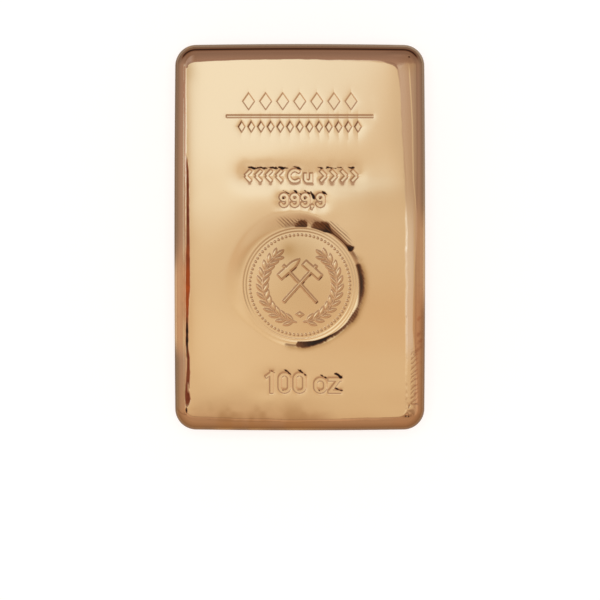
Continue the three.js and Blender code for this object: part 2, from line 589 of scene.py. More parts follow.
# %% Fold
fold_edges = np.array([
    # height on the face, left edge, right edge
    (-59.0, -39.2, -38.9), (-57.5, -39.5, -38.2), (-56.0, -39.65, -37.75), (-54.5, -39.7, -38.0),
    (-53.0, -39.6, -38.35), (-51.0, -39.4, -38.1), (-47.0, -39.15, -37.95), (-43.0, -38.95, -38.05),
    (-41.0, -38.95, -38.2), (-38.5, -39.1, -38.5), (-36.5, -39.25, -38.6), (-27.0, -39.35, -38.5),
    (-22.0, -39.4, -38.35), (-17.5, -39.4, -37.95), (-13.0, -39.4, -38.0), (-8.0, -39.35, -38.05),
    (-3.0, -39.2, -38.05), (2.0, -39.15, -38.15), (12.0, -39.1, -38.3), (21.0, -39.1, -38.4),
    (26.0, -39.2, -38.7), (28.5, -39.25, -39.0),
]).T
fold_depth = 0.22


def fold_reach(x, y):
    """1 in the middle of the fold, 0 clear of it."""
    left = np.interp(y, fold_edges[0], fold_edges[1]) + 0.05 * noise(x * 0, y, 2.6, 41)
    right = np.interp(y, fold_edges[0], fold_edges[2]) + 0.08 * noise(x * 0, y, 1.7, 42)
    slit = ramp(0.3, 0.05, np.abs(x + 38.55)) * between(y, -54, -53, -51, -50)
    across = between(x, left - 0.15, left + 0.15, right - 0.15, right + 0.15)
    return between(y, -59, -57.5, 25, 28.5) * across * (1 - slit)


# %% Pits, wrinkles and the whole top
pits = [((36.9, -61.7), 0.4), ((37.8, 62.3), 0.3)]  # centre and size
wrinkles = leaves((38.1, -60.9, -38, 1.1, 0.16), (37.8, -58.6, 62, 0.8, 0.18))
wrinkles.append(bar((38.4, -57.95), (40.9, -57.6), 0.1))


def pit_depth(x, y):
    pitted = sum(0.12 * np.exp(-((x - cx) ** 2 + (y - cy) ** 2) / size**2) for (cx, cy), size in pits)
    return pitted + 0.05 * ramp(0.15, -0.15, distance_to(wrinkles, x, y))


def edge_line(x, y, inner):
    """The die's near edge left a hair-fine groove that runs out towards the right."""
    return 0.022 * between(x, -34, -30, 6, 16) * ramp(-50, -55, y) * bell(inner + 0.25, 0.28)


def top_height(x, y):
    """Height of the finished top at points in plan."""
    inset, inner = inset_at(x, y), inside_die(x, y)
    pressed = ramp(-die_wall / 2, die_wall / 2, inner)
    skin = skin_height(inset, crest_length(x, y)) - sag(x, y, inset) + rough_corner(x, y, inset)
    ground = skin + (face_height(x, y) - skin) * pressed
    flaws = fold_depth * fold_reach(x, y) + pit_depth(x, y) + edge_line(x, y, inner)
    return seal_heights(x, y, ground - mark_depth(x, y)) - flaws


print("height at the middle of the face", round(float(top_height(np.zeros(1), np.zeros(1))[0]), 2), "mm")

# %% [markdown]
# ## Tarnish
#
# Near-black painted shade stands for the shadows and dark reflections round the right and the top of the
# seal, and along the upper edges of the letters. The marks taper like brush strokes. Their outlines are
# kept as shapes or tables of radii, because the mesh has to be fine along them too: a mask stored on
# points can be no sharper than the points are close.

# %% Painted shade round the seal
ring_shade = np.array(sorted([
    # bearing from the seal's middle in degrees, inner and outer radius, strength
    (106, 20.1, 21.2, 0.00), (104, 20.1, 21.9, 0.22), (96, 20.1, 21.8, 0.30), (93.5, 19.95, 21.4, 0.70),
    (90, 19.95, 22.3, 0.82), (86, 19.95, 22.5, 0.85), (83.5, 20.0, 21.8, 0.80), (82, 20.4, 21.0, 0.10),
    (80, 20.3, 20.8, 0.12), (78.5, 20.0, 21.6, 0.45), (76, 20.0, 22.5, 0.68), (72, 20.0, 22.9, 0.75),
    (67, 20.0, 23.5, 0.82), (65, 20.0, 23.5, 0.95), (62, 20.4, 22.7, 0.95), (60, 20.5, 21.9, 0.88),
    (57, 20.8, 21.6, 0.75), (50, 20.85, 21.3, 0.80), (44, 20.85, 21.45, 0.70), (40, 20.8, 21.8, 0.80),
    (37, 20.7, 22.4, 0.95), (35, 20.5, 23.0, 1.00), (33.4, 20.8, 22.5, 0.95), (32.4, 21.2, 21.9, 0.10),
    (31, 21.0, 22.0, 0.28), (25, 21.5, 22.6, 0.30), (21.5, 21.9, 22.7, 0.15), (20.3, 20.8, 21.8, 0.30),
    (19, 20.6, 22.3, 0.82), (10, 20.55, 22.6, 0.86), (0, 20.6, 22.7, 0.88), (-8, 20.75, 22.6, 0.85),
    (-14, 21.0, 22.5, 0.68), (-20, 21.2, 22.3, 0.55), (-25, 21.0, 22.4, 0.65), (-30, 20.75, 22.6, 0.68),
    (-35, 20.7, 22.5, 0.62), (-38, 20.8, 22.1, 0.58), (-45, 20.7, 21.8, 0.65), (-52, 20.5, 21.5, 0.72),
    (-60, 20.2, 21.3, 0.92), (-66, 20.1, 21.5, 0.97), (-75, 19.95, 21.6, 0.97), (-80, 19.8, 21.8, 0.92),
    (-88, 19.6, 21.9, 0.76), (-92, 19.6, 21.6, 0.68), (-94, 20.7, 21.4, 0.42), (-103, 20.7, 21.7, 0.35),
    (-105, 21.0, 21.4, 0.00),
])).T
wheel_marks = np.array(sorted([
    # where the polishing wheel left fine strokes over the ring: bearing, inner and outer radius, strength
    (111, 21.4, 24.5, 0.0), (107, 20.9, 24.2, 0.45), (101, 20.5, 23.8, 0.8), (95, 20.4, 22.9, 0.85),
    (90, 20.4, 22.8, 0.7), (85, 20.3, 22.9, 0.6), (81, 20.3, 22.4, 0.25), (77, 20.4, 23.0, 0.6),
    (72, 20.9, 23.5, 0.7), (64, 21.2, 24.6, 0.8), (50, 21.2, 24.4, 0.75), (42, 21.3, 23.6, 0.65),
    (36, 21.6, 23.0, 0.3), (33, 21.6, 22.6, 0.0), (-16, 20.8, 22.8, 0.0), (-22, 20.8, 22.9, 0.55),
    (-40, 20.7, 22.5, 0.5), (-47, 20.6, 22.0, 0.35), (-54, 20.5, 21.8, 0.0),
])).T


def about_seal(x, y, table):
    """Bearing and radius about the seal, with a table's inner and outer radius and strength there."""
    dx, dy = x - seal_centre[0], y - seal_centre[1]
    bearing = np.degrees(np.arctan2(dy, dx))
    inner, outer = (np.interp(bearing, table[0], values) for values in table[1:3])
    strength = np.interp(bearing, table[0], table[3], left=0, right=0)
    return bearing, np.hypot(dx, dy), inner, outer, strength


print(ring_shade.shape[1], "points along the stain,", wheel_marks.shape[1], "along the wheel's marks")

# %% Painted shadows on the marks and in the flaws
weight_top = weight_base + weight_high
fineness_top, symbol_top = fineness_base + fineness_high, symbol_base + symbol_high
# Painted shadows by the upper edges of letters and figures: x, y, lean, half length and half width.
shadow_leaves = [
    (-4.2, weight_top - 0.4, -36, 1.7, 0.26), (0.7, weight_top - 0.4, -33, 1.6, 0.24),
    (8.2, weight_top - 1.9, -27, 1.2, 0.24), (13.4, weight_top - 1.6, -32, 2.1, 0.42),
    (13.5, weight_base + 1.3, -20, 1.4, 0.22), (-9.6, weight_top - 0.1, -30, 1.0, 0.2),
    (-1.0, symbol_top + 0.25, -20, 1.6, 0.3), (4.5, fineness_base + 4.0, -62, 1.5, 0.5),
]
shadow_leaves += [(x + 0.9, fineness_top + 0.15, -28, 1.35, 0.24) for x in nines]
shadow_leaves += [(x + 0.3, symbol_top + 0.2, -6, 1.7, 0.14 if side > 0 else 0.4) for side, x in chevrons]
mark_shadows = leaves(*shadow_leaves)
mark_shadows += [disc((x, fineness_base + 3.2), 0.2) for x in np.array(nines) - 0.2]
for x, up, r in ((-5.9, 1.1, 0.22), (-0.6, 1.0, 0.18), (6.6, 1.1, 0.2)):
    mark_shadows.append(disc((x, weight_base + up), r))
# Painted shadows in the fold and in the pits.
flaw_shadows = leaves((-39.15, -59.8, 90, 1.1, 0.24), (-38.98, -34.2, 90, 7.6, 0.36))
flaw_shadows += [disc((37.8, 62.3), 0.3), disc((36.7, -61.9), 0.3), disc((37.5, -62.0), 0.22)]
shadow_shapes = mark_shadows + flaw_shadows
# Creases, where painted shade lies.
creases = [arc((-38.9, -57.4), 4.0, np.radians(234), np.radians(33), 0.14), *wrinkles[1:]]
shoulder_streaks = leaves((41.1, -33.6, 50, 1.0, 0.5), (41.6, -36.0, 40, 1.4, 0.45),
                          (40.6, -39.2, 47, 2.2, 0.45), (41.2, -28.2, 50, 1.0, 0.4))
smudges_and_shade = [
    # soft films and painted shade: middle, reach both ways and strength
    ((-4.0, -4.2), (2.6, 2.6), 0.30), ((-1.0, -3.0), (8.5, 6.0), 0.30), ((0.0, -9.0), (9.0, 6.0), 0.18),
    ((0.0, -18.0), (17.0, 13.0), 0.22), ((24.0, 15.5), (15.0, 9.0), 0.2),
    ((-5.0, -57.0), (32.0, 6.0), 0.06), ((37.8, 60.0), (3.2, 3.5), 0.3), ((-38.0, 57.5), (2.5, 4.0), 0.25),
]
print(len(shadow_shapes), "stains_and_shade")

# %% [markdown]
# ## The mesh
#
# The sides and the shoulder are rings of quads, like a loft, because their section is the same all
# the way round. They carry on in over the crest and the die's edge, where fine spacing across is
# needed and coarse spacing along is enough. The face inside them is different: it needs points less
# than a fifth of a millimetre apart at the walls of the marks and hardly any between. So its points
# come from a quadtree, whose squares are split until each is small beside its distance to the nearest
# edge, and a Delaunay triangulation joins them.

# %% Rings
draft = np.radians(5)
base_edge_radius = 2.6
wall_turn = -np.arctan(shoulder_rise / shoulder_reach * np.tan(draft))
wall_top = (shoulder_reach * (1 - np.cos(wall_turn)), widest_z + shoulder_rise * np.sin(wall_turn))
wall_foot_z = base_edge_radius * (1 - np.sin(draft))
wall_foot_inset = wall_top[0] + (wall_top[1] - wall_foot_z) * np.tan(draft)

side_rings = []  # inset and height
for angle in np.linspace(-quarter, -draft, 7):
    side_rings.append((wall_foot_inset + base_edge_radius * (np.cos(draft) - np.cos(angle)),
                       base_edge_radius * (1 + np.sin(angle))))
for share in (0.25, 0.5, 0.75):
    side_rings.append((wall_foot_inset + share * (wall_top[0] - wall_foot_inset),
                       wall_foot_z + share * (wall_top[1] - wall_foot_z)))
side_rings.append(wall_top)
shoulder_insets = shoulder_reach * (1 - np.cos(np.radians(np.arange(0, 44, 5.5))))
top_insets = np.concatenate([np.linspace(shoulder_insets[-1], 3.2, 8)[1:], np.arange(3.38, 7.4, 0.19)])
border = outline(top_insets[-1])
print(f"{len(side_rings)} rings up the sides, {len(shoulder_insets) + len(top_insets)} over the shoulder")

# %% Points on the face
finest_cell, coarsest_cell = 0.185, 2.96
cell_growth = 0.6


def edge_distance(x, y):
    """Distance to the nearest wall or crease that the mesh has to follow."""
    _, r, shade_inner, shade_outer, shaded = about_seal(x, y, ring_shade)
    to_shade = np.minimum(np.abs(r - shade_inner), np.abs(r - shade_outer) + finest_cell)
    distances = [np.abs(inside_die(x, y)) + 0.3]
    distances += [np.abs(distance_to(shapes, x, y)) for shapes, *_ in mark_rows]
    distances += [np.maximum(np.abs(r - at) - half, 0) + 0.1 for at, half, _ in rim_steps]
    distances += [
        np.where(shaded > 0.02, to_shade, far_away),
        np.abs(distance_to(shadow_shapes, x, y)) + finest_cell,
        1.7 + np.maximum(r - seal_radius - 6.5, 0),  # the hollow round the seal
    ]
    nearest = np.minimum.reduce(distances)
    inside = np.flatnonzero(r < rim_steps[1][0])
    nearest[inside] = np.minimum(nearest[inside], np.abs(distance_to(design, x[inside], y[inside])))
    return nearest


def face_points(border_inset):
    cell = coarsest_cell
    half_x, half_y = width / 2, length / 2
    gx, gy = np.meshgrid(np.arange(-half_x, half_x + cell, cell), np.arange(-half_y, half_y + cell, cell))
    x, y = gx.ravel(), gy.ravel()
    kept = []
    while len(x):
        allowed = finest_cell + cell_growth * np.maximum(edge_distance(x, y) - 0.25 - cell * 0.5, 0)
        split = (cell > allowed) & (cell > finest_cell * 1.3)
        kept.append(np.stack([x[~split], y[~split], np.full((~split).sum(), cell)], axis=1))
        x, y = x[split], y[split]
        cell /= 2
        step = cell / 2
        x = np.concatenate([x - step, x + step, x - step, x + step])
        y = np.concatenate([y - step, y - step, y + step, y + step])
    points = np.concatenate(kept)
    inside = inset_at(points[:, 0], points[:, 1]) > border_inset + 0.3 * points[:, 2] + 0.12
    return points[inside, :2]


face_xy = face_points(top_insets[-1])
print(len(face_xy), "points on the face")

# %% [markdown]
# The rings and the face share the innermost ring, and a fan closes the base, so all of it is one
# closed skin. The normals of the top are set from the height's own slope. The triangles of a quadtree
# differ a lot in size, and normals averaged from them would show as faint facets in a mirror.

# %% Build the mesh


def top_normals(x, y):
    reach = 0.04
    slope_x = (top_height(x + reach, y) - top_height(x - reach, y)) / (2 * reach)
    slope_y = (top_height(x, y + reach) - top_height(x, y - reach)) / (2 * reach)
    normal = np.stack([-slope_x, -slope_y, np.ones_like(slope_x)], axis=1)
    return normal / np.linalg.norm(normal, axis=1, keepdims=True)


def ingot_points():
    """All points, and the number of the first one whose height is the top's."""
    rings = [np.column_stack([outline(inset), np.full(len(border), z)]) for inset, z in side_rings]
    for inset in shoulder_insets:
        xy = outline(inset)
        rings.append(np.column_stack([xy, skin_height(inset, crest_length(*xy.T))]))
    first_of_top = len(rings) * len(border)
    for xy in [outline(inset) for inset in top_insets] + [face_xy]:
        rings.append(np.column_stack([xy, top_height(xy[:, 0], xy[:, 1])]))
    return np.concatenate(rings + [[(0, 0, 0)]]), first_of_top


def ingot_mesh(points, first_of_top):
    around = len(border)
    next_round = np.roll(np.arange(around), -1).tolist()
    first_shared = len(points) - 1 - len(face_xy) - around
    faces = []
    for low in range(0, first_shared, around):
        faces += [(low + a, low + b, low + around + b, low + around + a) for a, b in enumerate(next_round)]
    underside = len(points) - 1
    faces += [(b, a, underside) for a, b in enumerate(next_round)]

    flat = [Vector(p) for p in points[first_shared:underside, :2].tolist()]
    _, _, triangles, origins, _, _ = delaunay_2d_cdt(flat, [], [list(range(around))], 1, 1e-6)
    to_point = [first_shared + origin[0] for origin in origins]
    faces += [tuple(to_point[corner] for corner in triangle) for triangle in triangles]

    mesh = bpy.data.meshes.new("pressed_ingot")
    mesh.from_pydata((points * MM).tolist(), [], faces)
    mesh.polygons.foreach_set("use_smooth", np.ones(len(mesh.polygons), bool))
    mesh.update()
    normals = np.zeros(len(points) * 3)
    mesh.vertices.foreach_get("normal", normals)
    normals = normals.reshape(-1, 3)
    normals[first_of_top:underside] = top_normals(*points[first_of_top:underside, :2].T)
    normals[:around] = (0, 0, -1)  # the base is flat right up to where its round edge begins
    mesh.normals_split_custom_set_from_vertices(normals.tolist())
    return mesh


points, first_of_top = ingot_points()
ingot_surface = ingot_mesh(points, first_of_top)
triangle_count = sum(len(p.vertices) - 2 for p in ingot_surface.polygons)
print(f"{len(points)} points, {triangle_count} triangles, top at {points[:, 2].max():.2f} mm")

# %% [markdown]
# ## Where the metal changes colour, and where shade and highlights are painted
#
# Eleven masks are stored on the mesh's points, and the material reads them. Seven are about the
# casting's own skin:
#
# - `unpressed` is that skin, which the die never polished. It stops along the two ridges, where the
#   crest is burnished and its bright lines stand in for highlights.
# - `shoulder` grows outward, and carries painted shade that browns the skin towards the edge.
# - `far` grows towards the far end, where painted shade makes the brown darker and greyer.
# - `rim` is the darkest painted shade, round the widest section.
# - `flush` is the orange that the heat of the pour left on the lower shoulders.
# - `folded` is where small cold folds run up the lower right shoulder, where the metal set before it
#   filled the mould.
# - `pale` is a painted highlight, almost white, on the crest above them.

# %% Masks of the shoulder
# Each pair is heights on the face, and what holds there: the ridges' inset, or a strength.
right_ridge = ((-62, -56, -52, -47, -42, -37, -32, -22, -8, 2, 8, 13, 20, 31, 38, 47, 62),
               (2.6, 2.6, 2.7, 3.0, 3.3, 3.8, 4.3, 4.15, 3.7, 3.25, 3.2, 3.6, 4.2, 4.42, 4.45, 4.8, 5.6))
left_ridge = ((-52, -46, -42, 6, 13, 17, 21, 26, 31, 39, 62),
              (3.9, 4.1, 4.4, 4.4, 4.0, 3.9, 3.78, 3.66, 3.7, 3.75, 3.7))
left_crest_strength = ((-55, -52, -43, -40, -2, 14, 20), (0, 0.8, 0.8, 0, 0, 0.8, 1))
right_flush = ((-60, -46, -36, -24, -14, 4, 14), (0.15, 0.3, 0.45, 0.4, 0.12, 0.08, 0))
left_flush = ((-42, -34, -14, -2), (0, 0.15, 0.15, 0))


def shoulder_masks(x, y, z):
    inset, inner = inset_at(x, y), inside_die(x, y)
    on_side = z < widest_z
    on_top = ramp(widest_z - 0.3, widest_z + 0.5, z)
    right, left = ramp(30, 34, x), ramp(-30, -34, x)
    by_end = ramp(length / 2 - 7, length / 2 - 5, np.abs(y))
    far_half = ramp(0, 10, y)

    from_ridge = inset - np.where(x > 0, np.interp(y, *right_ridge), np.interp(y, *left_ridge))
    left_crest = ramp(-0.12, 0.12, from_ridge) * ramp(-36, -38, x) * np.interp(y, *left_crest_strength)
    right_crest = bell(from_ridge, 0.22) * right * between(y, -12, -4, 56, 61)
    right_band = 0.75 * ramp(-0.15, 0.3, from_ridge) * right * between(y, -62, -60, -4, 28)
    # Along the ridges the crest is burnished, and its bright lines stand in for highlights.
    burnished_and_highlit = np.maximum.reduce([left_crest, right_crest, right_band])
    unpressed = (1 - ramp(-0.2, 0.4, inner) * ~on_side) * (1 - burnished_and_highlit * ~on_side)
    # A painted highlight, almost white, on the crest just outside the die's edge.
    highlit_crest = right_band * ramp(-46, -34, y) * ramp(4.0, 4.4, inset)
    highlit_crest = np.maximum(highlit_crest, 0.8 * left_crest * ramp(-4, 6, y))

    # The painted shade on the skin is lighter low on both sides.
    shade_lightened = between(y, -30, -16, 0, 12) * right + between(y, -42, -34, -14, -4) * left
    shade_lightened = shade_lightened * on_top
    # Painted shade browns the skin outward from the ridges, and over the sides.
    loss = np.where(y < 0, 0.15 - 0.05 * by_end, 0.15)  # for each millimetre inward
    outward_shade = np.maximum(1 - loss * inset, 0) * np.maximum(ramp(0.15, -0.15, from_ridge), by_end)
    outward_shade = np.where(on_side, 0.6, outward_shade)
    outward_shade = outward_shade * (1 - 0.22 * between(y, -44, -38, -10, 5) * left * on_top)
    outward_shade = outward_shade * (1 - 0.4 * shade_lightened * ramp(2.4, 1.4, inset))
    outward_shade = outward_shade * (1 - 0.5 * ramp(2.4, 4.0, inset) * by_end * ramp(0, -10, y) * on_top)

    # The far end's painted shade, darker and greyer, starts lower on the left.
    start = np.interp(x, (-43, 43), (-16, 1))  # the greyer brown starts lower on the left
    far = 0.8 * ramp(start, start + 16, y) + 0.2 * ramp(20, 55, y)
    far = np.maximum(far, 0.75 * between(y, -62, -58, -43, -35) * left)
    # Painted shade is darkest round the widest section and down the top of the sides.
    rim = np.where(on_side, 1.0, 1 - 0.9 * ramp(0.45, 1.0, inset) - 0.1 * ramp(1.0, 2.0, inset))
    rim = rim * (1 - 0.4 * shade_lightened - 0.4 * by_end * far_half) * (1 - 0.4 * right * far_half)
    flush = np.interp(y, *right_flush) * right + np.interp(y, *left_flush) * left
    folded = between(y, -58.2, -57.4, -42, -37) * ramp(36, 38, x) * between(inset, 2.0, 2.8, 4.8, 5.2)
    return {
        "unpressed": unpressed,
        "shoulder": unpressed * outward_shade,
        "far": far * on_top + 0.4 * (1 - on_top),
        "rim": rim * ramp(widest_z - 6, widest_z - 0.5, z),
        "flush": flush * unpressed * on_top,
        "folded": folded * ~on_side,
        "pale": highlit_crest * ramp(0.5, -0.1, inner) * ~on_side,
    }


# %% [markdown]
# The other four lie on the top alone, and are painted shade and stains:
#
# - `painted_shade` is near-black painted shade: painted shadows beside the letters, in the flaws and
#   creases, painted shadows and dark reflections round the seal, and a painted dark reflection in a
#   hairline along the far shoulder.
# - `brushed` is where fine strokes, as a polishing wheel leaves, cross that shade over the seal's edge.
# - `film_and_shade` is a thin brown film in soft smudges, and painted shade by the left edge, round the
#   seal and along the near edge.
# - `red` is the dark red oxide in the fold along the left edge, and a few streaks low on the right.

# %% Masks of the stains
# Painted shade on the upper left walls of each kind of mark, and how dark it is.
shaded_walls = [
    (large_row, 0.1), (rule, 0.3), (small_row, 0.55), (symbol, 0.3), (fineness, 0.3), (weight, 0.22),
]
# Where the painted dark reflection runs along the far shoulder.
far_reflection_inset = 1.93


def upper_left_side(shapes, x, y, reach=0.2):
    """1 along the upper left walls of the shapes, where painted shade darkens them."""
    lean = distance_to(shapes, x - reach, y + reach) - distance_to(shapes, x + reach, y - reach)
    return bell(distance_to(shapes, x, y), 0.24) * ramp(-0.6 * reach, 2 * reach, lean)


def lower_right_side(shapes, x, y, reach=0.3):
    """1 just outside the lower right edges of the shapes."""
    beyond = ramp(0.1, -0.1, distance_to(shapes, x - reach, y + reach))
    return beyond * ramp(-0.05, 0.1, distance_to(shapes, x, y))


def seal_shade(x, y):
    """Painted shade round the seal, for its shadows and dark reflections, broken into streaks."""
    streaks = noise(x + 0.8 * y, (0.8 * x - y) / 5, 0.7, 55)
    _, r, inner, outer, strength = about_seal(x, y, ring_shade)
    dx, dy = (x - seal_centre[0]) / np.maximum(r, 1), (y - seal_centre[1]) / np.maximum(r, 1)
    soft = ramp(0.85, 0.96, dx + 0.1 * dy)
    fuzzy = outer + 0.16 * streaks + 0.08 * noise(x, y, 0.7, 56)
    shade = 0.94 * strength * ramp(inner - 0.14 - 0.55 * soft, inner + 0.16 + 0.4 * soft, r)
    shade *= ramp(fuzzy + 0.45, fuzzy - 0.55 - 0.6 * soft, r)
    shade *= 1 - 0.12 * np.abs(streaks) * (r > inner + 0.6)
    # Painted shade in the rim's two grooves, except low on the seal.
    in_grooves = sum(0.18 * bell(r - groove, 0.2) for groove in (19.5, 18.55))
    return np.maximum(shade, in_grooves * ramp(-0.45, -0.1, dy - 0.17 * dx))


def brushed_over(x, y):
    _, r, inner, outer, strength = about_seal(x, y, wheel_marks)
    r = r + 0.3 * noise(x, y, 1.4, 57)
    return strength * between(r, inner - 0.3, inner + 0.2, outer - 0.9, outer + 0.5)


def shade_round_seal(x, y):
    # Painted shade on the slope at the seal's upper left, and beside the dark ring on its right.
    bearing, r, _, outer, _ = about_seal(x, y, ring_shade)
    upper_left = between(bearing, 94, 108, 160, 178) * bell(r - 21.5, 1.3)
    right = between(bearing, -106, -96, 12, 32) * bell(r - outer - 0.1, 1.0)
    return 0.22 * upper_left + 0.55 * right * (r > seal_radius)


def film_and_shade_all_over(x, y):
    film_and_shade = shade_round_seal(x, y)
    for (cx, cy), (reach_x, reach_y), strength in smudges_and_shade:
        film_and_shade += strength * np.exp(-(((x - cx) / reach_x) ** 2) - ((y - cy) / reach_y) ** 2)
    # Painted shade by the left edge.
    shade_by_left_edge = np.exp(-np.maximum(x + 38.5, 0) / 1.6) * ramp(-39.5, -39.0, x)
    film_and_shade += np.interp(y, (-42, -28, -5, 20), (0, 0.08, 0.15, 0.24)) * shade_by_left_edge
    # Cloudy painted shade along the near edge, on the left half.
    cloudy_shade = ramp(-0.6, 0.9, noise(x, y, 6, 58) + 0.4 * noise(x, y, 2.0, 59))
    return film_and_shade + 0.4 * cloudy_shade * ramp(-54.5, -62, y) * ramp(16, -4, x)


def shade_all_over(x, y):
    ragged = 0.25 * noise(x, y, 1.1, 53) + 0.15 * noise(x, y, 0.5, 51)
    # Painted shade on the upper left walls of the marks.
    walls = sum(strength * upper_left_side(shapes, x, y) for shapes, strength in shaded_walls)
    # A painted dark reflection in a hairline along the far shoulder.
    far_reflection = 1.3 * bell(inset_at(x, y) - far_reflection_inset, 0.3) + 0.12 * bell(inset_at(x, y) - 2.8, 0.6)
    far_reflection = far_reflection * ramp(60.5, 63.0, y) * (1 - ramp(39.5, 42, np.abs(x)))
    return np.maximum.reduce([
        seal_shade(x, y),
        # Painted shadows beside the letters and figures, and in the flaws.
        0.95 * ramp(0.18, -0.18, distance_to(mark_shadows, x, y) + ragged),
        0.95 * ramp(0.2, -0.2, distance_to(flaw_shadows, x, y) + 0.3 * ragged),
        walls,
        # Painted drop shadows at the lower right of the tools and the design, and painted shade in the
        # rule and the creases.
        0.7 * lower_right_side(tools, x, y) * ramp(-0.3, 0.5, noise(x, y, 1.7, 54)),
        0.3 * lower_right_side(design, x, y, 0.2),
        0.08 * ramp(0.1, -0.15, distance_to(rule, x, y)),
        0.3 * ramp(0.15, -0.15, distance_to(creases, x, y)),
        np.minimum(far_reflection, 1),
    ])


def stain_and_shade_masks(x, y, z):
    halo = 0.3 * bell(x + 40.0, 0.8) * between(y, -33, -26, -10, -4)  # rust beside the fold
    streaks = 0.45 * ramp(0.3, -0.35, distance_to(shoulder_streaks, x, y))
    stains_and_shade = {
        "painted_shade": shade_all_over(x, y),
        "brushed": brushed_over(x, y),
        "film_and_shade": film_and_shade_all_over(x, y),
        "red": np.maximum.reduce([fold_reach(x, y), halo, streaks]),
    }
    return {name: values * (z >= widest_z) for name, values in stains_and_shade.items()}


for name, values in (shoulder_masks(*points.T) | stain_and_shade_masks(*points.T)).items():
    layer = ingot_surface.attributes.new(name, "FLOAT", "POINT")
    layer.data.foreach_set("value", values.astype(np.float32))
    print(f"{name}: {values.min():.2f} to {values.max():.2f}")

# %% [markdown]
# ## Helpers for the materials
#
# Colours are written as the eye knows them, in sRGB hex, and turned into the linear values that the
# renderer works in. One function, `add`, adds a node, sets it up and links its inputs. What a node
# gives is wrapped as a `Number`, and arithmetic on numbers adds Math nodes, so that a long sum in a
# shader can be written as a sum.

# %% Material helpers


def linear(hex_colour):
    parts = [int(hex_colour[i:i + 2], 16) / 255 for i in (1, 3, 5)]
    return [c / 12.92 if c <= 0.04045 else ((c + 0.055) / 1.055) ** 2.4 for c in parts] + [1.0]


def add(tree, kind, inputs=None, **settings):
    """Add a node. Each input is a plain value, a hex colour or what another node gives."""
    node = tree.nodes.new(kind)
    for name, value in settings.items():
        setattr(node, name, value)
    for name, value in (inputs or {}).items():
        if isinstance(value, Number):
            value = value.output
        if isinstance(value, bpy.types.NodeSocket):
            tree.links.new(value, node.inputs[name])
        else:
            node.inputs[name].default_value = linear(value) if isinstance(value, str) else value
    return node


class Number:
    """A number that a node in a tree gives."""

    def __init__(self, tree, output):
        self.tree, self.output = tree, output

    def maths(self, operation, *values):
        node = add(self.tree, "ShaderNodeMath", dict(enumerate(values)), operation=operation)
        return Number(self.tree, node.outputs[0])

    def __add__(self, other):
        return self.maths("ADD", self, other)

    def __rsub__(self, other):
        return self.maths("SUBTRACT", other, self)

    def __mul__(self, other):
        return self.maths("MULTIPLY", self, other)

    def __truediv__(self, other):
        return self.maths("DIVIDE", self, other)

    def __neg__(self):
        return self * -1.0

    __radd__, __rmul__ = __add__, __mul__

    def at_least(self, other):
        return self.maths("MAXIMUM", self, other)

    def over(self, low, high, most=1.0, kind="SMOOTHSTEP"):
        """0 at low and the most at high. A soft step, or a straight one where the kind is LINEAR."""
        node = add(self.tree, "ShaderNodeMapRange",
                   {"Value": self, "From Min": low, "From Max": high, "To Max": most},
                   clamp=True, interpolation_type=kind)
        return Number(self.tree, node.outputs[0])


def new_material(name):
    material = bpy.data.materials.new(name)
    material.use_nodes = True
    material.node_tree.nodes.clear()
    return material, material.node_tree


def mixed(tree, share, first, second, blend_type="MIX"):
    """A colour between two, each either a hex colour or another node's output."""
    inputs = {0: share, 6: first, 7: second}  # the sockets that a mix of colours uses
    return add(tree, "ShaderNodeMix", inputs, data_type="RGBA", blend_type=blend_type).outputs[2]


def mask(tree, name):
    return Number(tree, add(tree, "ShaderNodeAttribute", attribute_name=name).outputs["Fac"])


print("white is", [round(c, 2) for c in linear("#FFFFFF")])

# %% [markdown]
# ## Copper, pressed bright
#
# The face was pressed by a polished die, so it mirrors the studio, with only a faint unevenness left
# by the die and by later handling. The shoulders kept the skin of the casting, which is less smooth,
# and painted shade makes it browner. The films, the rust and the near-black shade go on last, and
# rust and that shade are dull.
# The cold folds and the wheel's strokes are too many to draw one by one, so wave textures rule them
# as leaning lines, and a mask says where they show.

# %% Copper
wave_period = 0.314  # the bands of a wave texture of scale 1 are this far apart
# The colours that the near-black painted shade runs through as it deepens.
shade_by_depth = [("#8A5C3E", 0.0, 0.5), ("#42362F", 0.5, 0.86), ("#121019", 0.88, 1.0)]


